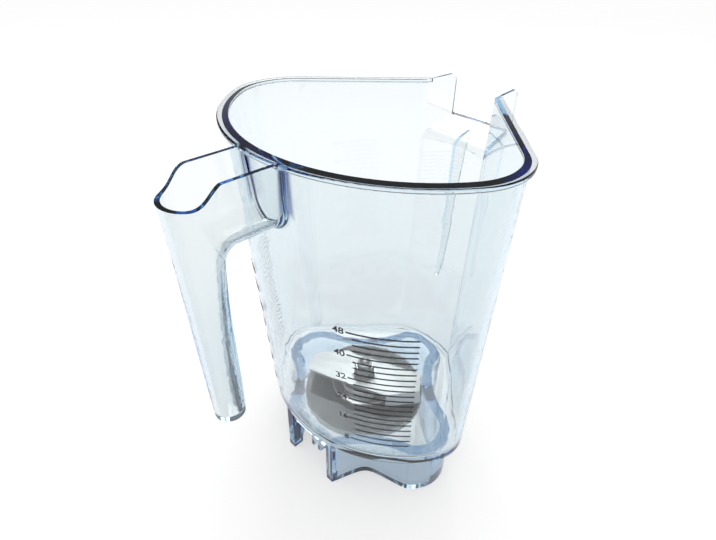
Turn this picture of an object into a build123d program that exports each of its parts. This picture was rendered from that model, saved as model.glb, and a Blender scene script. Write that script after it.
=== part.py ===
"""Clear blender jar: a moulded body with handle, spout and skirt, and the blade unit in its floor."""
import os
from math import atan2, cos, degrees, hypot, pi, radians, sin, sqrt, tan

from build123d import *

# Jar body, heights above the feet
jar_height = 235.0
body_bottom = 38.0
floor_thickness = 3.4
floor_round = 4.0
wall = 3.4
side_angle = 47.4
nose_half = 25.2
arc_split = 0.3
foot_round = 2.0

# Outside plan of the body at its lower edge
foot_reach = 55.5
foot_arc = 88.0
foot_side = 65.5
foot_corner = 25.0
foot_nose_bulge = 5.0

# Outside plan of the body at the rim
rim_reach = 71.7
rim_arc = 98.7
rim_side = 69.7
rim_corner = 35.0
rim_nose_bulge = 1.0

# Rim lip
lip_out = 2.6
lip_height = 2.4
lip_top_round = 0.8
lip_low_round = 0.5

# Pouring spout
spout_reach = 100.0
spout_half = 26.5
spout_mouth_half = 23.2
spout_wall = 1.7
spout_root = 62.0
spout_lip_drop = 25.5
spout_root_drop = 32.5
spout_floor = 3.2
spout_bend = 12.0
spout_bend_start = 70.6
spout_flow = 12.0
spout_flow_foot = 1.0
spout_flow_lead = 6.0
spout_corner_round = 5.0
rib_thickness = 2.2
rib_top_reach = 90.0
rib_foot_drop = 134.0
rib_foot_reach = 78.0

# Handle: a channel from the jar to a hollow grip
handle_wall = 2.3
handle_drop = 8.7
handle_dip_start = 97.0
handle_dip_end = 115.0
handle_dip_lead = 0.4
channel_drop = 23.6
channel_low_half = 12.2
channel_top_half = 14.7
channel_round = 10.0
channel_root_round = 3.5
grip_top_axis = -105.6
grip_top_radius = 15.5
grip_mid_axis = -107.5
grip_mid_radius = 10.5
grip_mid_drop = 49.0
grip_low_axis = -106.6
grip_low_radius = 9.3
grip_low_drop = 93.0
grip_foot_axis = -105.3
grip_foot_radius = 8.2
grip_length = 137.0
grip_foot_wall = 2.4
bore_shift = -0.6
bore_mid_radius = 7.8
bore_low_radius = 5.8
bore_foot_radius = 5.2

# Four-lobed skirt under the body
skirt_wall = 7.2
skirt_back = 52.0
skirt_back_half = 22.5
skirt_lobe_reach = 70.5
skirt_lobe_rise = 11.0
skirt_lobe_half = 20.5
skirt_nose = 71.5
skirt_nose_half = 18.0
skirt_nose_ease = 6.5
skirt_nose_bow = 1.6
skirt_back_dip = 5.0
skirt_side_dip = 8.5
arch_height = 8.5
arch_half = 30.0
arch_turn = 47.0
arch_lead = 0.5
gate_half = 17.0
gate_top_gap = 7.0
gate_round = 3.0
post_depth = 7.0
post_proud = 0.4
tooth_width = 2.6
tooth_drop = 9.0
tooth_pitch = 6.0
tooth_count = 2
tooth_offset = -6.5

# Bearing housing and what clamps it to the floor
housing_radius = 15.0
housing_foot = 13.0
flange_radius = 22.5
flange_thickness = 3.0
flange_round = 1.0
hub_rise = 3.4
hub_radius = 16.5
hub_round = 1.5
floor_hole_gap = 0.3
gasket_thickness = 1.2
gasket_inset = 1.0
retainer_radius = 41.4
retainer_thickness = 5.0
retainer_collar_radius = 21.0
retainer_collar_depth = 7.0
retainer_thread_gap = 0.1
retainer_notches = 6
notch_width = 6.0
notch_depth = 3.0

# Ball bearings
bearing_outer = 11.0
bearing_width = 7.0
bearing_spacing = 10.0
race_outer_wall = 1.8
race_inner_wall = 1.9
ball_radius = 1.95
ball_count = 7
ball_gap = 0.3
cage_wall = 0.9
cage_width = 5.4
pocket_gap = 0.05
spacer_wall = 1.4
web_thickness = 1.5
web_hole_gap = 1.5
preload_thickness = 0.8
preload_wall = 1.6
circlip_thickness = 1.2
circlip_bite = 0.6
circlip_wall = 2.0
circlip_gap = 0.1

# Rotor
shaft_radius = 4.0
collar_radius = 5.7
seal_gap = 0.3
seal_outer = 9.0
seal_height = 4.6
seal_clear = 0.3
seal_lip = 1.2
slinger_radius = 10.0
slinger_thickness = 1.0
slinger_gap = 0.6
blade_washer_radius = 8.5
blade_washer_thickness = 1.0
blade_thickness = 2.0
blade_reach = 41.2
blade_shoulder = 36.5
blade_half = 14.0
blade_turn = -68.0
fold_start = 21.0
fold_rise = 13.0
flap_depth = 8.6
flap_slope = 75.0
cap_hex = 13.0
cap_hex_height = 6.0
cap_dome_radius = 5.2
cap_dome_height = 6.0
cap_hex_chamfer = 0.6
thread_engagement = 8.0
thread_gap = 0.05
spline_tip_radius = 9.0
spline_root_radius = 7.4
spline_teeth = 12
spline_height = 9.4
spline_neck_radius = 5.6
spline_flank = 75.0
spline_gap = 0.6
shaft_recess = 1.0

os.makedirs("parts", exist_ok=True)

# Heights that follow from the sizes above
floor_top = body_bottom + floor_thickness
spout_lip_height = jar_height - spout_lip_drop
spout_root_height = jar_height - spout_root_drop
rib_foot_height = jar_height - rib_foot_drop
channel_axis = jar_height - channel_drop
grip_mid_height = jar_height - grip_mid_drop
grip_low_height = jar_height - grip_low_drop
grip_foot_height = jar_height - grip_length
flange_foot = floor_top + gasket_thickness
flange_top = flange_foot + flange_thickness
hub_top = flange_top + hub_rise
seal_foot = hub_top - seal_height - seal_clear
upper_top = seal_foot - web_thickness
upper_foot = upper_top - bearing_width
lower_top = upper_foot - bearing_spacing
lower_foot = lower_top - bearing_width
preload_foot = lower_foot - preload_thickness
circlip_foot = preload_foot - circlip_thickness
slinger_foot = hub_top + slinger_gap
slinger_top = slinger_foot + slinger_thickness
blade_foot = slinger_top + blade_washer_thickness
blade_top = blade_foot + blade_thickness
cap_foot = blade_top + blade_washer_thickness
cap_top = cap_foot + cap_hex_height + cap_dome_height
spline_top = housing_foot - spline_gap
spline_foot = spline_top - spline_height
handle_top = jar_height - handle_drop
spout_slope = (spout_lip_height - spout_root_height) / (spout_reach - rim_side)
spout_tilt = atan2(spout_slope, 1)
spout_toe = atan2(spout_half - spout_mouth_half, spout_reach - spout_root)
bend_axis = spout_bend_start + spout_bend
bend_height = spout_root_height + spout_slope * (bend_axis - rim_side) - spout_bend / cos(spout_tilt)
chute_end = spout_reach + spout_wall
rib_top_height = spout_root_height + spout_slope * (rib_top_reach - rim_side) - spout_floor / 2
post_axis = skirt_back + post_proud - post_depth / 2
post_side = (gate_half + skirt_back_half) / 2
spline_bite = spline_tip_radius - spline_root_radius + shaft_recess
ball_pitch = (shaft_radius + race_inner_wall + bearing_outer - race_outer_wall) / 2


def plan_sizes(height, inset):
    """Reach, arc, side, corner, nose half-width and nose bulge of the body's plan at a height."""
    share = (height - body_bottom) / (jar_height - body_bottom)
    reach = foot_reach + (rim_reach - foot_reach) * share - inset
    arc = foot_arc + (rim_arc - foot_arc) * share - inset
    side = foot_side + (rim_side - foot_side) * share - inset
    corner = foot_corner + (rim_corner - foot_corner) * share - inset
    bulge = foot_nose_bulge + (rim_nose_bulge - foot_nose_bulge) * share
    return reach, arc, side, corner, nose_half - inset / 2, bulge


def bow(start, end, height):
    """Arc between two points that stands out by a height on its left side."""
    run_x = end[0] - start[0]
    run_y = end[1] - start[1]
    length = hypot(run_x, run_y)
    middle = (
        (start[0] + end[0]) / 2 - run_y / length * height,
        (start[1] + end[1]) / 2 + run_x / length * height,
    )
    return ThreePointArc(start, middle, end)


def arc_about(center, radius, start_angle, end_angle):
    """Arc of a circle between two angles in radians."""
    angles = (start_angle, (start_angle + end_angle) / 2, end_angle)
    return ThreePointArc(*[(center[0] + radius * cos(a), center[1] + radius * sin(a)) for a in angles])


def draw_body_half(sizes):
    """Draw one half of the body's plan, from the handle side round to the nose."""
    reach, arc, side, corner, half, bulge = sizes
    turn = radians(side_angle)
    center = arc - reach
    # The corner's centre lies inside both the handle-side arc and the straight side
    foot_x = cos(turn) * (side - corner) - center
    foot_y = sin(turn) * (side - corner)
    along = foot_y * cos(turn) - foot_x * sin(turn)
    step = sqrt(along**2 - foot_x**2 - foot_y**2 + (arc - corner) ** 2) - along
    corner_x = center + foot_x - sin(turn) * step
    corner_y = foot_y + cos(turn) * step
    tangent = atan2(corner_y, corner_x - center)
    split = pi - (pi - tangent) * arc_split
    arc_about((center, 0), arc, pi, split)
    arc_about((center, 0), arc, split, tangent)
    arc_about((corner_x, corner_y), corner, tangent, turn)
    nose_x = (side - sin(turn) * half) / cos(turn)
    Line((corner_x + corner * cos(turn), corner_y + corner * sin(turn)), (nose_x, half))
    nose_radius = (bulge**2 + half**2) / (2 * bulge)
    nose_center = nose_x + bulge - nose_radius
    arc_about((nose_center, 0), nose_radius, atan2(half, nose_x - nose_center), 0)


def plan_face(sizes, height):
    """Plan of the body with given sizes, lying at a height."""
    with BuildSketch(Plane.XY.offset(height)) as face:
        with BuildLine():
            draw_body_half(sizes)
            mirror(about=Plane.XZ)
        make_face()
    return face.sketch


def body_face(height, inset):
    """Plan of the body at a height, drawn in by an inset."""
    return plan_face(plan_sizes(height, inset), height)


def chute_face(height, flow):
    """Plan of the spout's chute at a height, with cheeks that flow into the body's sides."""
    side = plan_sizes(height, wall)[2]
    half = spout_half - spout_wall
    turn = radians(side_angle)
    bend = pi / 2 - turn - spout_toe
    narrowing = tan(spout_toe)
    edge = (side - sin(turn) * (half + spout_root * narrowing)) / (cos(turn) - sin(turn) * narrowing)
    start_x = edge + flow * tan(bend / 2) * cos(spout_toe)
    start_y = half - (start_x - spout_root) * narrowing
    mouth = (chute_end, half - (chute_end - spout_root) * narrowing)
    angle = -pi / 2 - spout_toe
    center = (start_x + flow * sin(spout_toe), start_y + flow * cos(spout_toe))
    sweep = bend - radians(spout_flow_lead)
    with BuildSketch(Plane.XY.offset(height)) as face:
        with BuildLine():
            Line((chute_end, 0), mouth)
            Line(mouth, (start_x, start_y))
            cheek = arc_about(center, flow, angle, angle - sweep)
            run = (cheek @ 1).X - spout_root + wall
            inner = (spout_root - wall, (cheek @ 1).Y + run * tan(spout_toe + sweep))
            Line(cheek @ 1, inner)
            Line(inner, (spout_root - wall, 0))
            mirror(about=Plane.XZ)
        make_face()
    return face.sketch


def skirt_face(inset):
    """Four-lobed plan of the skirt at the feet, drawn in by an inset."""
    back = (-skirt_back, skirt_back_half)
    lobe_back = (-skirt_lobe_half, skirt_lobe_reach - skirt_lobe_rise)
    lobe_front = (skirt_lobe_half, skirt_lobe_reach - skirt_lobe_rise)
    nose = (skirt_nose - skirt_nose_ease, skirt_nose_half)
    with BuildSketch() as face:
        with BuildLine():
            Line((-skirt_back, 0), back)
            bow(back, lobe_back, -skirt_back_dip)
            bow(lobe_back, lobe_front, skirt_lobe_rise)
            bow(lobe_front, nose, -skirt_side_dip)
            bow(nose, (skirt_nose, 0), skirt_nose_bow)
            mirror(about=Plane.XZ)
        make_face()
        if inset:
            offset(amount=-inset, mode=Mode.REPLACE)
    return face.sketch


def handle_form(sections, inset):
    """Channel and grip of the handle through round sections, with a rounded junction and an inset."""
    top = jar_height - channel_axis
    low = channel_low_half - inset
    high = channel_top_half - inset
    with BuildPart() as form:
        for axis, radius, height in sections:
            with BuildSketch(Plane((axis, 0, height))):
                Circle(radius)
        loft()
        with BuildSketch(Plane(origin=(grip_top_axis, 0, channel_axis), x_dir=(0, 1, 0), z_dir=(1, 0, 0))):
            with BuildLine():
                Line((high, top), (low, 0))
                arc_about((0, 0), low, 0, -pi)
                Line((-low, 0), (-high, top))
                Line((-high, top), (high, top))
            make_face()
        extrude(amount=-grip_top_axis - foot_reach)
        add(handle_dip.part, mode=Mode.SUBTRACT)
        meeting = (
            form.edges()
            .filter_by_position(Axis.X, grip_top_axis, grip_top_axis + grip_top_radius, (False, False))
            .filter_by_position(Axis.Z, grip_mid_height, handle_top)
        )
        fillet(meeting, channel_round + inset)
    return form.part


def side_prism(points, half_width):
    """Solid with a side view given by points along X and Z, centred on the jar's plane of symmetry."""
    with BuildPart() as prism:
        with BuildSketch(Plane.XZ):
            with BuildLine():
                Polyline(*points, close=True)
            make_face()
        extrude(amount=half_width, both=True)
    return prism.part


def ring(inner, outer, foot, top):
    """Plain ring between two radii and two heights."""
    with BuildPart() as piece:
        with BuildSketch(Plane.XY.offset(foot)):
            Circle(outer)
            Circle(inner, mode=Mode.SUBTRACT)
        extrude(amount=top - foot)
    return piece


def turned(points):
    """Solid of revolution about the blade axis from points of radius and height."""
    with BuildPart() as piece:
        with BuildSketch(Plane.XZ):
            with BuildLine():
                Polyline(*points, close=True)
            make_face()
        revolve(axis=Axis.Z)
    return piece


def race(inner, outer, foot):
    """Bearing race with a ball groove half way up."""
    with BuildPart() as piece:
        with BuildSketch(Plane.XZ):
            with Locations(((inner + outer) / 2, foot + bearing_width / 2)):
                Rectangle(outer - inner, bearing_width)
            with Locations((ball_pitch, foot + bearing_width / 2)):
                Circle(ball_radius + ball_gap, mode=Mode.SUBTRACT)
        revolve(axis=Axis.Z)
    return piece


def save(piece, name):
    """Label a finished piece and write it."""
    piece.part.label = name
    export_step(piece.part, f"parts/{name}.step")


# Jar moulding
with BuildPart() as lip:
    extrude(plan_face(plan_sizes(jar_height, -lip_out), jar_height - lip_height), lip_height)
    fillet(lip.edges().group_by(Axis.Z)[-1], lip_top_round)
    fillet(lip.edges().group_by(Axis.Z)[0], lip_low_round)

gate_top = body_bottom - gate_top_gap

# Space above the handle, whose top dips towards its end
with BuildPart() as handle_dip:
    with BuildSketch(Plane.XZ):
        with BuildLine():
            Spline(
                (-handle_dip_start, jar_height + handle_dip_lead),
                (-handle_dip_end, handle_top),
                tangents=((-1, 0), (-1, 0)),
            )
            Polyline(
                (-handle_dip_end, handle_top),
                (grip_top_axis - 2 * grip_top_radius, handle_top),
                (grip_top_axis - 2 * grip_top_radius, jar_height + handle_drop),
                (-handle_dip_start, jar_height + handle_drop),
                (-handle_dip_start, jar_height + handle_dip_lead),
            )
        make_face()
    extrude(amount=2 * grip_top_radius, both=True)

# Inside of the handle up to the jar's own wall
with BuildPart() as hollow:
    bore = (
        (grip_foot_axis + bore_shift, bore_foot_radius, grip_foot_height + grip_foot_wall),
        (grip_low_axis + bore_shift, bore_low_radius, grip_low_height),
        (grip_mid_axis, bore_mid_radius, grip_mid_height),
        (grip_top_axis, grip_top_radius - handle_wall, jar_height),
    )
    add(handle_form(bore, handle_wall))
    loft([body_face(body_bottom, 0), body_face(jar_height, 0)], ruled=True, mode=Mode.SUBTRACT)

# Inside of the jar, rounded at the floor
with BuildPart() as cavity:
    loft([body_face(floor_top, wall), body_face(jar_height, wall)], ruled=True)
    fillet(cavity.edges().group_by(Axis.Z)[0], floor_round)

# Spout block, bent out of the body's nose and narrower at its mouth
with BuildPart() as spout:
    with BuildSketch(Plane.XZ) as spout_side:
        with BuildLine():
            under = arc_about((bend_axis, bend_height), spout_bend - spout_floor, pi, pi / 2 + spout_tilt)
            Polyline(
                under @ 1,
                (spout_reach, spout_lip_height - spout_floor / cos(spout_tilt)),
                (spout_reach, jar_height),
                (spout_root, jar_height),
                (spout_root, bend_height),
                under @ 0,
            )
        make_face()
        fillet(spout_side.vertices().group_by(Axis.X)[-1].sort_by(Axis.Y)[-1:], spout_corner_round)
    extrude(amount=spout_half, both=True)
    with BuildSketch(Plane.XY.offset(bend_height)):
        with BuildLine():
            Polyline(
                (spout_root, spout_half),
                (spout_root, -spout_half),
                (spout_reach, -spout_mouth_half),
                (spout_reach, spout_mouth_half),
                close=True,
            )
        make_face()
    extrude(amount=jar_height - bend_height, mode=Mode.INTERSECT)

# Inside of the spout, above its floor
with BuildPart() as chute:
    chute_top = jar_height + spout_wall
    loft([chute_face(bend_height, spout_flow_foot), chute_face(chute_top, spout_flow)], ruled=True)
    with BuildSketch(Plane.XZ):
        with BuildLine():
            floor = arc_about((bend_axis, bend_height), spout_bend, pi, pi / 2 + spout_tilt)
            Polyline(
                floor @ 1,
                (chute_end, spout_root_height + spout_slope * (chute_end - rim_side)),
                (chute_end, bend_height),
                floor @ 0,
            )
        make_face()
    extrude(amount=spout_half, both=True, mode=Mode.SUBTRACT)

with BuildPart() as jar:
    loft([body_face(body_bottom, 0), body_face(jar_height, 0)], ruled=True)
    fillet(jar.edges().group_by(Axis.Z)[0], foot_round)
    grip = (
        (grip_foot_axis, grip_foot_radius, grip_foot_height),
        (grip_low_axis, grip_low_radius, grip_low_height),
        (grip_mid_axis, grip_mid_radius, grip_mid_height),
        (grip_top_axis, grip_top_radius, jar_height),
    )
    add(handle_form(grip, 0))
    handle_root = (
        jar.edges()
        .filter_by_position(Axis.X, -rim_reach - lip_out, -foot_reach)
        .filter_by_position(Axis.Y, -channel_top_half, channel_top_half)
        .filter_by_position(Axis.Z, grip_mid_height, jar_height - handle_wall)
    )
    fillet(handle_root, channel_root_round)
    add(hollow.part, mode=Mode.SUBTRACT)
    add(lip.part)
    add(spout.part)
    # Stiffening rib under the spout
    add(
        side_prism(
            (
                (spout_root, spout_root_height - spout_floor / 2),
                (rib_top_reach, rib_top_height),
                (rib_foot_reach, rib_foot_height),
                (spout_root, rib_foot_height),
            ),
            rib_thickness / 2,
        )
    )
    # Skirt with waves in its lower edge and a gate on the handle side
    extrude(skirt_face(0), body_bottom + foot_round)
    extrude(skirt_face(skirt_wall), body_bottom, mode=Mode.SUBTRACT)
    for turn in (arch_turn, -arch_turn, 180 - arch_turn, arch_turn - 180):
        outward = Vector(cos(radians(turn)), sin(radians(turn)), 0)
        with BuildSketch(Plane(outward * skirt_back / 2, x_dir=outward.rotate(Axis.Z, 90), z_dir=outward)):
            with BuildLine():
                Spline(
                    (-arch_half, -arch_lead),
                    (0, arch_height),
                    (arch_half, -arch_lead),
                    tangents=((1, 0), (1, 0)),
                )
                Line((arch_half, -arch_lead), (-arch_half, -arch_lead))
            make_face()
        extrude(amount=skirt_back, mode=Mode.SUBTRACT)
    with BuildSketch(Plane.YZ.offset(-foot_reach)) as gate:
        with Locations((0, gate_top / 2)):
            Rectangle(2 * gate_half, gate_top)
        fillet(gate.vertices().group_by(Axis.Y)[-1], gate_round)
    extrude(amount=2 * post_depth, mode=Mode.SUBTRACT)
    for side in (-1, 1):
        with BuildSketch():
            with Locations((-post_axis, side * post_side)):
                Rectangle(post_depth, skirt_back_half - gate_half)
        extrude(amount=body_bottom)
    with BuildSketch(Plane.XY.offset(gate_top - tooth_drop)):
        with Locations((skirt_wall / 2 - skirt_back, tooth_offset)):
            with GridLocations(0, tooth_pitch, 1, tooth_count):
                Rectangle(skirt_wall, tooth_width)
    extrude(amount=tooth_drop + gate_top_gap)
    # Inside of the jar and of the spout
    add(cavity.part, mode=Mode.SUBTRACT)
    add(chute.part, mode=Mode.SUBTRACT)
    # Hole for the bearing housing
    with BuildSketch(Plane.XY.offset(body_bottom)):
        Circle(housing_radius + floor_hole_gap)
    extrude(amount=floor_thickness, mode=Mode.SUBTRACT)
save(jar, "jar")

# Bearing housing with a flange above the floor and a seal seat in its hub
with BuildPart() as housing:
    with BuildSketch(Plane.XZ):
        with BuildLine():
            Polyline(
                (bearing_outer, housing_foot),
                (housing_radius, housing_foot),
                (housing_radius, flange_foot),
                (flange_radius, flange_foot),
                (flange_radius, flange_top),
                (hub_radius, flange_top),
                (hub_radius, hub_top),
                (seal_outer, hub_top),
                (seal_outer, seal_foot),
                (collar_radius + web_hole_gap, seal_foot),
                (collar_radius + web_hole_gap, upper_top),
                (bearing_outer, upper_top),
                close=True,
            )
        make_face()
    revolve(axis=Axis.Z)
    round_edges = housing.edges().filter_by(GeomType.CIRCLE)
    fillet(round_edges.filter_by_position(Axis.Z, hub_top, hub_top).sort_by(SortBy.RADIUS)[-1:], hub_round)
    round_edges = housing.edges().filter_by(GeomType.CIRCLE)
    rim_edges = round_edges.filter_by_position(Axis.Z, flange_top, flange_top)
    fillet(rim_edges.sort_by(SortBy.RADIUS)[-1:], flange_round)
    add(
        ring(
            bearing_outer - circlip_gap,
            bearing_outer + circlip_bite + circlip_gap,
            circlip_foot - circlip_gap,
            preload_foot,
        ).part,
        mode=Mode.SUBTRACT,
    )
save(housing, "bearing_housing")

gasket = ring(housing_radius + floor_hole_gap, flange_radius - gasket_inset, floor_top, flange_foot)
save(gasket, "housing_gasket")

# Retainer nut under the floor, with wrench notches in its collar
with BuildPart() as retainer:
    with BuildSketch(Plane.XY.offset(body_bottom - retainer_thickness)):
        Circle(retainer_radius)
    extrude(amount=retainer_thickness)
    with BuildSketch(Plane.XY.offset(body_bottom - retainer_thickness - retainer_collar_depth)):
        Circle(retainer_collar_radius)
        with PolarLocations(retainer_collar_radius, retainer_notches):
            Rectangle(2 * notch_depth, notch_width, mode=Mode.SUBTRACT)
    extrude(amount=retainer_collar_depth)
    with BuildSketch(Plane.XY.offset(body_bottom)):
        Circle(housing_radius + retainer_thread_gap)
    extrude(amount=-retainer_thickness - retainer_collar_depth, mode=Mode.SUBTRACT)
save(retainer, "retainer_nut")

# Lip seal in the hub, its lip leaning towards the shaft collar
seal = turned(
    (
        (seal_outer, seal_foot),
        (seal_outer, seal_foot + seal_height),
        (collar_radius + seal_gap, seal_foot + seal_height),
        (collar_radius + seal_gap, seal_foot + seal_height - seal_lip),
        (collar_radius + seal_gap + seal_lip, seal_foot + seal_lip),
        (collar_radius + web_hole_gap, seal_foot),
    )
)
save(seal, "shaft_seal")

# Two ball bearings
for name, foot in (("upper", upper_foot), ("lower", lower_foot)):
    save(race(bearing_outer - race_outer_wall, bearing_outer, foot), f"{name}_outer_race")
    save(race(shaft_radius, shaft_radius + race_inner_wall, foot), f"{name}_inner_race")
    middle = Plane.XY.offset(foot + bearing_width / 2)
    with BuildPart(middle) as balls:
        with PolarLocations(ball_pitch, ball_count):
            Sphere(ball_radius)
    save(balls, f"{name}_balls")
    with BuildPart(middle) as cage:
        Cylinder(ball_pitch + cage_wall / 2, cage_width)
        Cylinder(ball_pitch - cage_wall / 2, cage_width, mode=Mode.SUBTRACT)
        with PolarLocations(ball_pitch, ball_count):
            Cylinder(ball_radius + pocket_gap, 2 * ball_radius, rotation=(0, 90, 0), mode=Mode.SUBTRACT)
    save(cage, f"{name}_cage")

# Spacers, preload washer and circlip that hold the bearings
save(ring(bearing_outer - spacer_wall, bearing_outer, lower_top, upper_foot), "outer_spacer")
save(ring(shaft_radius, shaft_radius + spacer_wall, lower_top, upper_foot), "inner_spacer")
save(ring(bearing_outer - preload_wall, bearing_outer, preload_foot, lower_foot), "preload_washer")
with BuildPart() as circlip:
    with BuildSketch(Plane.XY.offset(circlip_foot)):
        Circle(bearing_outer + circlip_bite)
        Circle(bearing_outer - circlip_wall, mode=Mode.SUBTRACT)
        with Locations((bearing_outer, 0)):
            Rectangle(2 * (circlip_wall + circlip_bite), circlip_wall, mode=Mode.SUBTRACT)
    extrude(amount=circlip_thickness)
save(circlip, "housing_circlip")

# Shaft with a collar that stands on the upper bearing
shaft = turned(
    (
        (0, spline_foot + shaft_recess),
        (shaft_radius, spline_foot + shaft_recess),
        (shaft_radius, upper_top),
        (collar_radius, upper_top),
        (collar_radius, slinger_foot),
        (shaft_radius, slinger_foot),
        (shaft_radius, cap_foot + thread_engagement),
        (0, cap_foot + thread_engagement),
    )
)
save(shaft, "shaft")
save(ring(shaft_radius, slinger_radius, slinger_foot, slinger_top), "slinger")
save(ring(shaft_radius, blade_washer_radius, slinger_top, blade_foot), "lower_blade_washer")
save(ring(shaft_radius, blade_washer_radius, blade_top, cap_foot), "upper_blade_washer")

# Blade: a flat bar with one corner of each wing folded down
flap_lean = flap_depth / tan(radians(flap_slope))
flap_width = blade_thickness / sin(radians(flap_slope))
fold_run = blade_reach - fold_start
fold_angle = degrees(atan2(fold_rise, fold_run))
wing = (
    (blade_shoulder, blade_half),
    (blade_reach, fold_rise - blade_half),
    (fold_start, -blade_half),
)
with BuildPart() as blade:
    with BuildSketch(Plane.XY.offset(blade_foot).rotated((0, 0, blade_turn))):
        with BuildLine():
            Polyline(*wing, *[(-x, -y) for x, y in wing], close=True)
        make_face()
        Circle(shaft_radius, mode=Mode.SUBTRACT)
    extrude(amount=blade_thickness)
    for flip in (0, 180):
        along = Vector(1, 0, 0).rotate(Axis.Z, blade_turn + flip + fold_angle)
        corner = Vector(fold_start, -blade_half, 0).rotate(Axis.Z, blade_turn + flip)
        with BuildSketch(Plane(corner, x_dir=along.rotate(Axis.Z, 90), z_dir=along)):
            with BuildLine():
                Polyline(
                    (flap_width, blade_top),
                    (0, blade_top),
                    (-flap_lean, blade_top - flap_depth),
                    (flap_width - flap_lean, blade_top - flap_depth),
                    close=True,
                )
            make_face()
        extrude(amount=hypot(fold_run, fold_rise))
save(blade, "blade")

# Cap nut
with BuildPart() as cap:
    with BuildSketch(Plane.XY.offset(cap_foot)):
        RegularPolygon(cap_hex / 2, 6, major_radius=False)
    extrude(amount=cap_hex_height)
    chamfer(cap.edges().group_by(Axis.Z)[-1], cap_hex_chamfer)
    with BuildSketch(Plane.XZ):
        with BuildLine():
            Polyline(
                (0, cap_top),
                (0, cap_foot),
                (cap_dome_radius, cap_foot),
                (cap_dome_radius, cap_top - cap_dome_radius),
            )
            arc_about((0, cap_top - cap_dome_radius), cap_dome_radius, 0, pi / 2)
        make_face()
    revolve(axis=Axis.Z)
    with BuildSketch(Plane.XY.offset(cap_foot)):
        Circle(shaft_radius + thread_gap)
    extrude(amount=thread_engagement, mode=Mode.SUBTRACT)
save(cap, "cap_nut")

# Drive spline on the shaft's lower end, with a neck that clamps the lower bearing
with BuildPart() as spline:
    with BuildSketch(Plane.XY.offset(spline_foot)):
        Circle(spline_root_radius)
        spline_tooth = pi * spline_root_radius / spline_teeth
        with PolarLocations((spline_root_radius + spline_tip_radius) / 2 - shaft_recess / 2, spline_teeth):
            Trapezoid(spline_tooth, spline_bite, spline_flank, rotation=-90)
    extrude(amount=spline_height)
    with BuildSketch(Plane.XY.offset(spline_top)):
        Circle(spline_neck_radius)
    extrude(amount=lower_foot - spline_top)
    with BuildSketch(Plane.XY.offset(spline_foot)):
        Circle(shaft_radius)
    extrude(amount=lower_foot - spline_foot, mode=Mode.SUBTRACT)
save(spline, "drive_spline")
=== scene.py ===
"""Looks of a clear blender jar: moulded plastic, printed scales, steel blade unit and white studio."""
import logging
import math
from dataclasses import dataclass
from enum import Enum
from typing import Any

import bpy
from mathutils import Matrix, Vector


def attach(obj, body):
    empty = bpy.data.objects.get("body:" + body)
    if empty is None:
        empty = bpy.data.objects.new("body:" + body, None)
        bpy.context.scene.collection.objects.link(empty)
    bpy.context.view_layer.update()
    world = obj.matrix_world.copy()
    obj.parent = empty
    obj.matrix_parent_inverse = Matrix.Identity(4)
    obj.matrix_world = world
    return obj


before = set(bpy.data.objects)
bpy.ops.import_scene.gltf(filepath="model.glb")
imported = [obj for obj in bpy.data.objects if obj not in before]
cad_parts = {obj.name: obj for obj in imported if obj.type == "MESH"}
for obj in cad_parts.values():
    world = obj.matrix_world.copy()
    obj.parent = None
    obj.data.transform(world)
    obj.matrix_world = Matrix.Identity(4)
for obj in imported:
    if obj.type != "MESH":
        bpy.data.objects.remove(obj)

for stray in ("Cube", "Light", "Camera"):
    if stray in bpy.data.objects:
        bpy.data.objects.remove(bpy.data.objects[stray])
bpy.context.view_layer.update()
LOG = logging.getLogger("blender_jar")
Point = tuple[float, float, float]
Shade = tuple[float, float, float]
Socket = bpy.types.NodeSocket
Number = float | Socket
# Most of a noise's values lie between these two.
NOISE_LOW, NOISE_HIGH = 0.3, 0.7
# Half of the unit bar that each line of a scale is bent from.
BAR_HALF = 0.5


class NodeSheet:
    """A node tree with short ways to add nodes, set their inputs and join them."""

    def __init__(self, tree: bpy.types.NodeTree) -> None:
        """Start from a tree and clear it."""
        self.tree = tree
        tree.nodes.clear()

    def add(self, kind: str, inputs: dict[str | int, Any] | None = None, **settings: Any) -> bpy.types.Node:
        """Add a node.

        Args:
            kind: Blender's name of the node type.
            inputs: Values or sockets by input name or number.
            settings: Properties of the node itself.

        Returns:
            The new node.
        """
        node = self.tree.nodes.new(kind)
        for key, value in settings.items():
            setattr(node, key, value)
        for key, value in (inputs or {}).items():
            if isinstance(value, Socket):
                self.tree.links.new(value, node.inputs[key])
            else:
                node.inputs[key].default_value = value
        return node

    def math(self, operation: str, first: Number, second: Number = 0.0, third: Number = 0.0) -> Socket:
        """Add a sum, product or other operation on up to three numbers.

        Args:
            operation: Blender's name of the operation.
            first: First value or socket.
            second: Second value or socket.
            third: Third value or socket.

        Returns:
            The socket of the result.
        """
        return self.add("ShaderNodeMath", {0: first, 1: second, 2: third}, operation=operation).outputs[0]


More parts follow.
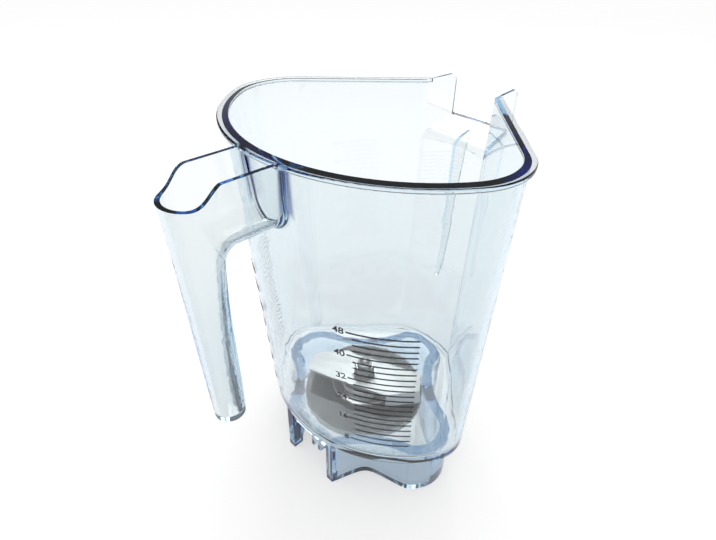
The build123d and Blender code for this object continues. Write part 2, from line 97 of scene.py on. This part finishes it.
class SurfaceSheet(NodeSheet):
    """The node tree of one material, read on Object coordinates."""

    def __init__(self, name: str) -> None:
        """Make an empty material of a name."""
        self.material = bpy.data.materials.new(name)
        self.material.use_nodes = True
        super().__init__(self.material.node_tree)
        self.end = self.add("ShaderNodeOutputMaterial")
        self.place = self.add("ShaderNodeTexCoord").outputs["Object"]

    def stretched(self, scale: Point, turn: float = 0.0) -> Socket:
        """Coordinates stretched by a scale and turned about the blade axis.

        Args:
            scale: Repeats per metre along each axis.
            turn: Turn about the blade axis in radians.

        Returns:
            The socket of the coordinates.
        """
        turned = self.add("ShaderNodeMapping", {"Vector": self.place, "Rotation": (0.0, 0.0, -turn)})
        return self.add("ShaderNodeMapping", {"Vector": turned.outputs[0], "Scale": scale}).outputs[0]

    def round_axis(self, scale: float) -> Socket:
        """Coordinates of radius and height about the blade axis, for turned pieces.

        Args:
            scale: Repeats per metre.

        Returns:
            The socket of the coordinates.
        """
        parts = self.add("ShaderNodeSeparateXYZ", {0: self.place}).outputs
        flat = self.add("ShaderNodeCombineXYZ", {0: parts[0], 1: parts[1]}).outputs[0]
        radius = self.add("ShaderNodeVectorMath", {0: flat}, operation="LENGTH").outputs["Value"]
        across = self.math("MULTIPLY", radius, scale)
        upward = self.math("MULTIPLY", parts[2], scale)
        return self.add("ShaderNodeCombineXYZ", {0: across, 1: upward}).outputs[0]

    def noise(self, vector: Socket, detail: float, scale: float = 1.0) -> Socket:
        """Soft noise over coordinates.

        Args:
            vector: Coordinates.
            detail: Finer layers of noise.
            scale: Repeats per unit of the coordinates.

        Returns:
            The socket of the noise's value.
        """
        return self.add("ShaderNodeTexNoise", {"Vector": vector, "Scale": scale, "Detail": detail}).outputs[0]

    def spread(self, value: Socket, low: float, high: float) -> Socket:
        """Map noise to a range.

        Args:
            value: Noise, which mostly lies between NOISE_LOW and NOISE_HIGH.
            low: Lowest result.
            high: Highest result.

        Returns:
            The socket of the result.
        """
        limits = {"From Min": NOISE_LOW, "From Max": NOISE_HIGH, "To Min": low, "To Max": high}
        return self.add("ShaderNodeMapRange", {"Value": value, **limits}).outputs[0]

    def ramp(self, value: Socket, start: float, end: float) -> Socket:
        """Map a value to a share.

        Args:
            value: The value.
            start: Value at which the share is 0.
            end: Value at which the share is 1.

        Returns:
            The socket of the share, which stays between 0 and 1.
        """
        return self.add("ShaderNodeMapRange", {"Value": value, "From Min": start, "From Max": end}).outputs[0]

    def shade(self, value: Socket, low: Shade | Socket, high: Shade | Socket) -> Socket:
        """Colour between two shades by a value.

        Args:
            value: Share of the second shade.
            low: First shade, or the socket of its colour.
            high: Second shade, or the socket of its colour.

        Returns:
            The socket of the colour.
        """
        first, second = (end if isinstance(end, Socket) else (*end, 1.0) for end in (low, high))
        return self.add("ShaderNodeMix", {0: value, 6: first, 7: second}, data_type="RGBA").outputs[2]

    def bump(self, height: Socket, strength: float, distance: float) -> Socket:
        """Bump from a height.

        Args:
            height: Height value.
            strength: Strength of the bump.
            distance: Height in metres.

        Returns:
            The socket of the normal.
        """
        settings = {"Height": height, "Strength": strength, "Distance": distance}
        return self.add("ShaderNodeBump", settings).outputs[0]

    def surface(self, inputs: dict[str | int, Any]) -> None:
        """Add the main shader and join it to the end.

        Args:
            inputs: Values or sockets of the shader by name.
        """
        shader = self.add("ShaderNodeBsdfPrincipled", inputs)
        self.tree.links.new(shader.outputs[0], self.end.inputs["Surface"])


class ScaleSide(Enum):
    """Side of the handle that a scale is printed on, as the sign of its angles."""

    RIGHT = 1
    LEFT = -1


class Grain(Enum):
    """How a metal's finish lies on it."""

    ALONG = "along"
    ROUND = "round"


@dataclass(frozen=True)
class ClearPlastic:
    """Clear glossy moulding with a blue cast in its depth."""

    name: str = "clear_moulding"
    ior: float = 1.56
    cast: Shade = (0.34, 0.66, 0.88)
    density: float = 46.0
    clean: float = 0.004
    scuffed: float = 0.05
    haze_fine: float = 38.0
    haze_detail: float = 4.0
    flow_fine: Point = (22.0, 22.0, 9.0)
    flow_detail: float = 1.0
    ripple: float = 0.006
    ripple_depth: float = 0.004
    thin: tuple[Shade, Shade] = ((0.926, 0.925, 0.908), (0.941, 0.939, 0.922))
    # Painted shade: a darker blue painted on the skirt below skirt_top, standing in for the shade under the
    # jar and in its thick plastic.
    skirt: Shade = (0.64, 0.70, 0.77)
    skirt_top: tuple[float, float] = (0.030, 0.037)
    # Painted shade: the dark blue painted on the two columns where the handle's channel meets the body.
    root: Shade = (0.13, 0.17, 0.32)
    root_place: tuple[float, float] = (-0.0695, 0.0138)
    root_reach: tuple[float, float] = (0.0026, 0.0044)
    root_foot: tuple[float, float] = (0.207, 0.211)

    def tint(self, sheet: SurfaceSheet, haze: Socket) -> Socket:
        """Tint of the thin walls, with painted shade: darker and bluer in the thick skirt and where the
        handle's channel meets the body, standing in for the shade of those thick sections.

        Args:
            sheet: Node tree of the material.
            haze: Noise that varies the thin walls.

        Returns:
            The socket of the colour.
        """
        parts = sheet.add("ShaderNodeSeparateXYZ", {0: sheet.place}).outputs
        # Painted shade on the skirt, fading into the thin walls' tint over skirt_top.
        walls = sheet.shade(sheet.ramp(parts[2], *self.skirt_top), self.skirt, sheet.shade(haze, *self.thin))
        # Painted shade on the two columns at the handle's root: within root_reach of root_place and above
        # root_foot.
        across = sheet.math("SUBTRACT", parts[0], self.root_place[0])
        beside = sheet.math("SUBTRACT", sheet.math("ABSOLUTE", parts[1]), self.root_place[1])
        offset = sheet.add("ShaderNodeCombineXYZ", {0: across, 1: beside}).outputs[0]
        distance = sheet.add("ShaderNodeVectorMath", {0: offset}, operation="LENGTH").outputs["Value"]
        below = sheet.ramp(parts[2], *reversed(self.root_foot))
        clear = sheet.math("MAXIMUM", sheet.ramp(distance, *self.root_reach), below)
        return sheet.shade(clear, self.root, walls)

    def material(self) -> bpy.types.Material:
        """Make the material."""
        sheet = SurfaceSheet(self.name)
        haze = sheet.noise(sheet.place, self.haze_detail, self.haze_fine)
        flow = sheet.noise(sheet.stretched(self.flow_fine), self.flow_detail)
        sheet.surface(
            {
                "Base Color": self.tint(sheet, haze),
                "Roughness": sheet.spread(haze, self.clean, self.scuffed),
                "IOR": self.ior,
                "Transmission Weight": 1.0,
                "Normal": sheet.bump(flow, self.ripple, self.ripple_depth),
            }
        )
        depth = sheet.add("ShaderNodeVolumeAbsorption", {"Color": (*self.cast, 1.0), "Density": self.density})
        sheet.tree.links.new(depth.outputs[0], sheet.end.inputs["Volume"])
        return sheet.material


@dataclass(frozen=True)
class Steel:
    """Bare steel with a fine grain."""

    name: str
    shade: Shade
    rough: tuple[float, float]
    grain: Grain
    turn: float = 0.0
    fine: float = 1500.0
    line_length: float = 40.0
    line_detail: float = 3.0
    relief: float = 0.35
    depth: float = 0.00004
    wear_fine: float = 120.0
    wear_detail: float = 5.0
    worn: float = 0.82

    def material(self) -> bpy.types.Material:
        """Make the material."""
        sheet = SurfaceSheet(self.name)
        if self.grain is Grain.ALONG:
            run = sheet.stretched((self.fine / self.line_length, self.fine, self.fine), self.turn)
        else:
            run = sheet.round_axis(self.fine)
        lines = sheet.noise(run, self.line_detail)
        wear = sheet.noise(sheet.place, self.wear_detail, self.wear_fine)
        dark = tuple(part * self.worn for part in self.shade)
        sheet.surface(
            {
                "Base Color": sheet.shade(wear, dark, self.shade),
                "Metallic": 1.0,
                "Roughness": sheet.spread(lines, *self.rough),
                "Normal": sheet.bump(lines, self.relief, self.depth),
            }
        )
        return sheet.material


@dataclass(frozen=True)
class DarkMoulding:
    """Black plastic or rubber with a fine moulded grain."""

    name: str
    low: Shade
    high: Shade
    rough: tuple[float, float]
    grain: float
    depth: float
    grain_detail: float = 3.0
    relief: float = 0.5
    dust_fine: float = 90.0
    dust_detail: float = 5.0

    def material(self) -> bpy.types.Material:
        """Make the material."""
        sheet = SurfaceSheet(self.name)
        grain = sheet.noise(sheet.place, self.grain_detail, self.grain)
        dust = sheet.noise(sheet.place, self.dust_detail, self.dust_fine)
        sheet.surface(
            {
                "Base Color": sheet.shade(dust, self.low, self.high),
                "Roughness": sheet.spread(dust, *self.rough),
                "Normal": sheet.bump(grain, self.relief, self.depth),
            }
        )
        return sheet.material


Finish = ClearPlastic | Steel | DarkMoulding
BLADE_TURN = math.radians(-68.0)
BLADE_STEEL = Steel("brushed_blade_steel", (0.86, 0.85, 0.83), (0.34, 0.5), Grain.ALONG, BLADE_TURN)
NUT_STEEL = Steel("polished_nut_steel", (0.74, 0.73, 0.72), (0.06, 0.16), Grain.ROUND, fine=900.0)
TURNED_STEEL = Steel("turned_steel", (0.60, 0.60, 0.61), (0.18, 0.32), Grain.ROUND)
HOUSING_STEEL = Steel("turned_housing_steel", (0.68, 0.67, 0.66), (0.14, 0.30), Grain.ROUND)
BEARING_STEEL = Steel("ground_bearing_steel", (0.74, 0.74, 0.76), (0.04, 0.10), Grain.ROUND, fine=2500.0)
NUT_PLASTIC = DarkMoulding(
    "black_nut_plastic", (0.012, 0.012, 0.014), (0.03, 0.03, 0.034), (0.34, 0.5), 1400.0, 0.00006
)
SEAL_RUBBER = DarkMoulding(
    "black_seal_rubber", (0.014, 0.014, 0.014), (0.03, 0.03, 0.03), (0.6, 0.8), 2200.0, 0.00008
)
SCALE_INK = DarkMoulding("scale_ink", (0.008, 0.008, 0.01), (0.03, 0.03, 0.035), (0.4, 0.6), 3000.0, 0.00002)


def dress(finish: Finish, names: tuple[str, ...]) -> None:
    """Give carried-over pieces one finish.

    Args:
        finish: The finish, which makes the material.
        names: Names of the pieces.
    """
    material = finish.material()
    for name in names:
        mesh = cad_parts[name].data
        mesh.materials.clear()
        mesh.materials.append(material)
        LOG.info("dressed %s in %s", name, material.name)


@dataclass
class JarShell:
    """The clear one-piece moulding of body, handle, spout and skirt."""

    finish: ClearPlastic = ClearPlastic()

    def dress(self) -> None:
        """Dress the moulding."""
        dress(self.finish, ("jar",))


@dataclass
class PrintedScale:
    """Volume scale printed on the outside of the handle-side wall."""

    name: str
    side: ScaleSide
    marks: tuple[tuple[int, float], ...]
    foot: float = 0.038
    rise: float = 0.197
    foot_reach: float = 0.0555
    reach_gain: float = 0.0162
    foot_arc: float = 0.088
    arc_gain: float = 0.0107
    stand_off: float = 0.00006
    ink_depth: float = 0.00008
    line_width: float = 0.00105
    line_end: float = math.radians(47.0)
    label_start: float = math.radians(24.0)
    plain_start: float = math.radians(26.0)
    digit_height: float = 0.0042
    digit_weight: float = 0.0001
    digit_share: float = 0.7
    label_gap: float = 0.0008
    segments: int = 24
    steps: int = 4

    def heights(self) -> list[tuple[float, bool]]:
        """List the lines.

        Returns:
            Height and whether the line is numbered, from the top down.
        """
        lines: list[tuple[float, bool]] = []
        for (_, upper), (_, lower) in zip(self.marks, self.marks[1:]):
            for step in range(self.steps):
                lines.append((upper + (lower - upper) * step / self.steps, step == 0))
        lines.append((self.marks[-1][1], True))
        return lines

    def on_wall(self, angle: float, height: float, proud: float) -> Vector:
        """Point on the outside of the wall.

        Args:
            angle: Angle round the wall's arc from the handle, in radians.
            height: Height above the feet.
            proud: Distance outside the wall.

        Returns:
            The point.
        """
        share = (height - self.foot) / self.rise
        arc = self.foot_arc + self.arc_gain * share
        centre = arc - self.foot_reach - self.reach_gain * share
        radius = arc + proud
        return Vector((centre - radius * math.cos(angle), -radius * math.sin(angle), height))

    def sizes(self) -> dict[str, float]:
        """Sizes that the lines' node group takes, by the names of its inputs."""
        return {
            "Foot": self.foot,
            "Rise": self.rise,
            "Foot reach": self.foot_reach,
            "Reach gain": self.reach_gain,
            "Foot arc": self.foot_arc,
            "Arc gain": self.arc_gain,
            "Width": self.line_width,
            "Stand-off": self.stand_off,
            "Depth": self.ink_depth,
        }

    def line_tree(self, ink: bpy.types.Material) -> bpy.types.NodeTree:
        """Build the node group that bends a bar round the wall for each line.

        Args:
            ink: Material of the lines.

        Returns:
            The node group.
        """
        tree = bpy.data.node_groups.new(f"{self.name}_lines", "GeometryNodeTree")
        tree.interface.new_socket("Lines", in_out="INPUT", socket_type="NodeSocketGeometry")
        for name in self.sizes():
            tree.interface.new_socket(name, in_out="INPUT", socket_type="NodeSocketFloat")
        tree.interface.new_socket("Segments", in_out="INPUT", socket_type="NodeSocketInt")
        tree.interface.new_socket("Bars", in_out="OUTPUT", socket_type="NodeSocketGeometry")
        sheet = NodeSheet(tree)
        given = sheet.add("NodeGroupInput").outputs
        unit = {"Size": (1.0, 1.0, 1.0), "Vertices X": given["Segments"]}
        bar = sheet.add("GeometryNodeMeshCube", unit).outputs["Mesh"]
        copies = {"Points": given["Lines"], "Instance": bar}
        bars = sheet.add("GeometryNodeInstanceOnPoints", copies).outputs[0]
        loose = sheet.add("GeometryNodeRealizeInstances", {0: bars}).outputs[0]
        place = sheet.add("GeometryNodeInputPosition").outputs[0]
        spot = sheet.add("ShaderNodeSeparateXYZ", {0: place}).outputs
        fields = {}
        for name in ("height", "start", "end"):
            fields[name] = sheet.add("GeometryNodeInputNamedAttribute", {"Name": name}).outputs["Attribute"]
        along = sheet.math("ADD", spot[0], BAR_HALF)
        sweep = sheet.math("SUBTRACT", fields["end"], fields["start"])
        angle = sheet.math("MULTIPLY_ADD", sweep, along, fields["start"])
        level = sheet.math("MULTIPLY_ADD", spot[1], given["Width"], fields["height"])
        share = sheet.math("DIVIDE", sheet.math("SUBTRACT", level, given["Foot"]), given["Rise"])
        arc = sheet.math("MULTIPLY_ADD", given["Arc gain"], share, given["Foot arc"])
        reach = sheet.math("MULTIPLY_ADD", given["Reach gain"], share, given["Foot reach"])
        centre = sheet.math("SUBTRACT", arc, reach)
        through = sheet.math("ADD", spot[2], BAR_HALF)
        outward = sheet.math("MULTIPLY_ADD", through, given["Depth"], given["Stand-off"])
        radius = sheet.math("ADD", arc, outward)
        across = sheet.math("SUBTRACT", centre, sheet.math("MULTIPLY", radius, sheet.math("COSINE", angle)))
        beside = sheet.math("MULTIPLY", radius, sheet.math("MULTIPLY", sheet.math("SINE", angle), -1.0))
        wrapped = sheet.add("ShaderNodeCombineXYZ", {0: across, 1: beside, 2: level}).outputs[0]
        moved = sheet.add("GeometryNodeSetPosition", {"Geometry": loose, "Position": wrapped}).outputs[0]
        inked = sheet.add("GeometryNodeSetMaterial", {"Geometry": moved, "Material": ink}).outputs[0]
        sheet.add("NodeGroupOutput", {0: inked})
        return tree

    def build_lines(self, ink: bpy.types.Material) -> bpy.types.Object:
        """Build the lines as one mesh.

        Args:
            ink: Material of the lines.

        Returns:
            The piece.
        """
        lines = self.heights()
        spans = []
        for _, numbered in lines:
            start = self.label_start if numbered else self.plain_start
            spans.append(sorted((start * self.side.value, self.line_end * self.side.value)))
        seeds = bpy.data.meshes.new(f"{self.name}_seeds")
        seeds.from_pydata([(0.0, 0.0, 0.0)] * len(lines), [], [])
        for name, values in (
            ("height", [height for height, _ in lines]),
            ("start", [first for first, _ in spans]),
            ("end", [last for _, last in spans]),
        ):
            seeds.attributes.new(name, "FLOAT", "POINT").data.foreach_set("value", values)
        source = bpy.data.objects.new(f"{self.name}_seeds", seeds)
        bpy.context.scene.collection.objects.link(source)
        modifier = source.modifiers.new("lines", "NODES")
        modifier.node_group = self.line_tree(ink)
        sizes = {**self.sizes(), "Segments": self.segments}
        for item in modifier.node_group.interface.items_tree:
            if item.in_out == "INPUT" and item.name in sizes:
                modifier[item.identifier] = sizes[item.name]
        return bake(source, f"{self.name}_lines")

    def build_numbers(self, ink: bpy.types.Material) -> bpy.types.Object:
        """Build the numbers as one mesh wrapped on the wall.

        Args:
            ink: Material of the numbers.

        Returns:
            The piece.
        """
        points: list[Vector] = []
        faces: list[list[int]] = []
        edge = self.side.value * (self.label_start - self.label_gap / self.foot_arc)
        for number, height in self.marks:
            text = bpy.data.curves.new("number", "FONT")
            text.body = str(number)
            text.align_x = self.side.name
            text.align_y = "CENTER"
            text.size = self.digit_height / self.digit_share
            text.extrude = self.ink_depth / 2.0
            text.offset = self.digit_weight
            maker = bpy.data.objects.new("number", text)
            bpy.context.scene.collection.objects.link(maker)
            flat = bpy.data.meshes.new_from_object(maker.evaluated_get(bpy.context.evaluated_depsgraph_get()))
            first = len(points)
            for vertex in flat.vertices:
                turn = vertex.co.x / self.foot_arc
                proud = self.stand_off + self.ink_depth / 2.0 + vertex.co.z
                points.append(self.on_wall(edge + turn, height + vertex.co.y, proud))
            faces.extend([first + index for index in face.vertices] for face in flat.polygons)
            bpy.data.objects.remove(maker)
            bpy.data.curves.remove(text)
            bpy.data.meshes.remove(flat)
        mesh = bpy.data.meshes.new(f"{self.name}_numbers")
        mesh.from_pydata(points, [], faces)
        mesh.materials.append(ink)
        piece = bpy.data.objects.new(f"{self.name}_numbers", mesh)
        bpy.context.scene.collection.objects.link(piece)
        return piece

    def build(self, ink: bpy.types.Material) -> None:
        """Build the print and let it ride on the jar.

        Args:
            ink: Material of the print.
        """
        for piece in (self.build_lines(ink), self.build_numbers(ink)):
            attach(piece, "jar_body")
            LOG.info("built %s", piece.name)


OUNCES = ((48, 0.1484), (40, 0.1318), (32, 0.1137), (24, 0.0960), (16, 0.0785), (8, 0.0580))
MILLILITRES = (
    (1400, 0.1470),
    (1200, 0.1331),
    (1000, 0.1178),
    (800, 0.1028),
    (600, 0.0879),
    (400, 0.0721),
    (200, 0.0545),
)
OUNCE_SCALE = PrintedScale("ounce_scale", ScaleSide.RIGHT, OUNCES)
METRIC_SCALE = PrintedScale(
    "metric_scale",
    ScaleSide.LEFT,
    MILLILITRES,
    line_end=math.radians(54.0),
    label_start=math.radians(31.0),
    plain_start=math.radians(33.0),
)


@dataclass
class BladeUnit:
    """Blade, cap nut, washers and slinger on the shaft."""

    def dress(self) -> None:
        """Dress the blade and what clamps it."""
        dress(BLADE_STEEL, ("blade",))
        dress(NUT_STEEL, ("cap_nut", "upper_blade_washer", "lower_blade_washer"))
        dress(TURNED_STEEL, ("slinger", "shaft", "drive_spline", "inner_spacer"))


@dataclass
class BearingUnit:
    """Housing in the jar's floor with its bearings, seal and retainer."""

    def dress(self) -> None:
        """Dress the housing and what it holds."""
        dress(HOUSING_STEEL, ("bearing_housing", "outer_spacer", "preload_washer", "housing_circlip"))
        races = ("upper_outer_race", "upper_inner_race", "lower_outer_race", "lower_inner_race")
        dress(BEARING_STEEL, (*races, "upper_balls", "lower_balls", "upper_cage", "lower_cage"))
        dress(NUT_PLASTIC, ("retainer_nut",))
        dress(SEAL_RUBBER, ("housing_gasket", "shaft_seal"))


def bake(source: bpy.types.Object, name: str) -> bpy.types.Object:
    """Turn an object with a node modifier into a plain mesh piece.

    Args:
        source: Object with the modifier, which is removed.
        name: Name of the piece.

    Returns:
        The piece.
    """
    mesh = bpy.data.meshes.new_from_object(source.evaluated_get(bpy.context.evaluated_depsgraph_get()))
    mesh.name = name
    seeds = source.data
    bpy.data.objects.remove(source)
    bpy.data.meshes.remove(seeds)
    piece = bpy.data.objects.new(name, mesh)
    bpy.context.scene.collection.objects.link(piece)
    return piece


@dataclass(frozen=True)
class Lamp:
    """A soft square lamp: where it hangs, its side in metres and its power in watts."""

    name: str
    place: Point
    side: float
    power: float

    def hang(self, aim: Point) -> None:
        """Hang the lamp so that it faces a point.

        Args:
            aim: The point.
        """
        data = bpy.data.lights.new(self.name, "AREA")
        data.size = self.side
        data.energy = self.power
        lamp = bpy.data.objects.new(self.name, data)
        bpy.context.scene.collection.objects.link(lamp)
        lamp.location = self.place
        lamp.rotation_euler = (Vector(aim) - Vector(self.place)).to_track_quat("-Z", "Y").to_euler()


@dataclass
class Studio:
    """White floor and surround, soft lamps and the camera."""

    eye: Point = (-0.1954, -0.1818, 0.3265)
    yaw: float = math.radians(45.67)
    pitch: float = math.radians(35.06)
    roll: float = math.radians(1.39)
    lens: float = 26.81
    sensor: float = 36.0
    near_limit: float = 0.01
    floor_half: float = 6.0
    floor_drop: float = 0.0002
    floor_seen: float = 0.58
    floor_fill: float = 0.2
    floor_shade: float = 0.5
    floor_rough: float = 0.9
    room: float = 0.8
    ceiling: float = 0.2
    wall_top: tuple[float, float] = (0.15, 0.35)
    bounces: int = 24
    aim: Point = (0.0, 0.0, 0.1)
    top_lamp: Lamp = Lamp("top_lamp", (0.15, 0.15, 1.2), 0.8, 2.0)
    back_lamp: Lamp = Lamp("back_lamp", (0.52, 0.48, 0.95), 0.5, 3.0)

    def camera(self) -> None:
        """Set the camera at the photograph's viewing angle."""
        data = bpy.data.cameras.new("camera")
        data.lens = self.lens
        data.sensor_width = self.sensor
        data.sensor_fit = "HORIZONTAL"
        data.clip_start = self.near_limit
        camera = bpy.data.objects.new("camera", data)
        bpy.context.scene.collection.objects.link(camera)
        ahead = Vector((
            math.cos(self.pitch) * math.sin(self.yaw),
            math.cos(self.pitch) * math.cos(self.yaw),
            -math.sin(self.pitch),
        ))
        level = Vector((math.cos(self.yaw), -math.sin(self.yaw), 0.0))
        upright = level.cross(ahead)
        right = level * math.cos(self.roll) + upright * math.sin(self.roll)
        up = upright * math.cos(self.roll) - level * math.sin(self.roll)
        turn = Matrix((right, up, -ahead)).transposed().to_4x4()
        camera.matrix_world = Matrix.Translation(self.eye) @ turn
        bpy.context.scene.camera = camera

    def seen(self, sheet: NodeSheet) -> Socket:
        """Tell rays that show the background from rays that light the scene.

        Args:
            sheet: Node tree that gets the nodes.

        Returns:
            The socket of 1 for camera, glossy and transmission rays and 0 for others.
        """
        path = sheet.add("ShaderNodeLightPath").outputs
        through = sheet.math("MAXIMUM", path["Is Glossy Ray"], path["Is Transmission Ray"])
        return sheet.math("MAXIMUM", path["Is Camera Ray"], through)

    def floor(self) -> None:
        """Lay a white floor that keeps the object's shadow."""
        half, level = self.floor_half, -self.floor_drop
        corners = [(-half, -half, level), (half, -half, level), (half, half, level), (-half, half, level)]
        mesh = bpy.data.meshes.new("floor")
        mesh.from_pydata(corners, [], [(0, 1, 2, 3)])
        mesh.materials.append(self.floor_white())
        floor = bpy.data.objects.new("floor", mesh)
        bpy.context.scene.collection.objects.link(floor)

    def floor_white(self) -> bpy.types.Material:
        """Make the floor's white.

        Returns:
            The material.
        """
        sheet = SurfaceSheet("white_floor")
        extra = self.floor_seen - self.floor_fill
        glow = sheet.math("MULTIPLY_ADD", self.seen(sheet), extra, self.floor_fill)
        sheet.surface(
            {
                "Base Color": (self.floor_shade, self.floor_shade, self.floor_shade, 1.0),
                "Roughness": self.floor_rough,
                "Specular IOR Level": 0.0,
                "Emission Color": (1.0, 1.0, 1.0, 1.0),
                "Emission Strength": glow,
            }
        )
        return sheet.material

    def surround(self) -> None:
        """Surround the scene with white walls, and for glossy and clear surfaces with a darker ceiling."""
        world = bpy.data.worlds.new("white_surround")
        bpy.context.scene.world = world
        world.use_nodes = True
        sheet = NodeSheet(world.node_tree)
        path = sheet.add("ShaderNodeLightPath").outputs
        aim = sheet.add("ShaderNodeTexCoord").outputs["Generated"]
        rise = sheet.add("ShaderNodeSeparateXYZ", {0: aim}).outputs[2]
        low, high = self.wall_top
        limits = {"From Min": low, "From Max": high, "To Min": 1.0, "To Max": self.ceiling}
        white = sheet.add("ShaderNodeMapRange", {"Value": rise, **limits}).outputs[0]
        shown = sheet.math("MAXIMUM", white, path["Is Camera Ray"])
        extra = sheet.math("SUBTRACT", shown, self.room)
        strength = sheet.math("MULTIPLY_ADD", self.seen(sheet), extra, self.room)
        glow = sheet.add("ShaderNodeBackground", {"Color": (1.0, 1.0, 1.0, 1.0), "Strength": strength})
        end = sheet.add("ShaderNodeOutputWorld")
        sheet.tree.links.new(glow.outputs[0], end.inputs["Surface"])

    def build(self) -> None:
        """Build the studio."""
        self.camera()
        self.floor()
        self.surround()
        self.top_lamp.hang(self.aim)
        self.back_lamp.hang(self.aim)
        scene = bpy.context.scene
        scene.view_settings.view_transform = "Standard"
        scene.cycles.max_bounces = self.bounces
        scene.cycles.glossy_bounces = self.bounces
        scene.cycles.transmission_bounces = self.bounces
        LOG.info("built the studio")


def main() -> None:
    """Dress the jar piece by piece and set up the studio."""
    logging.basicConfig(level=logging.INFO)
    JarShell().dress()
    ink = SCALE_INK.material()
    OUNCE_SCALE.build(ink)
    METRIC_SCALE.build(ink)
    BladeUnit().dress()
    BearingUnit().dress()
    Studio().build()


if __name__ == "__main__":
    main()
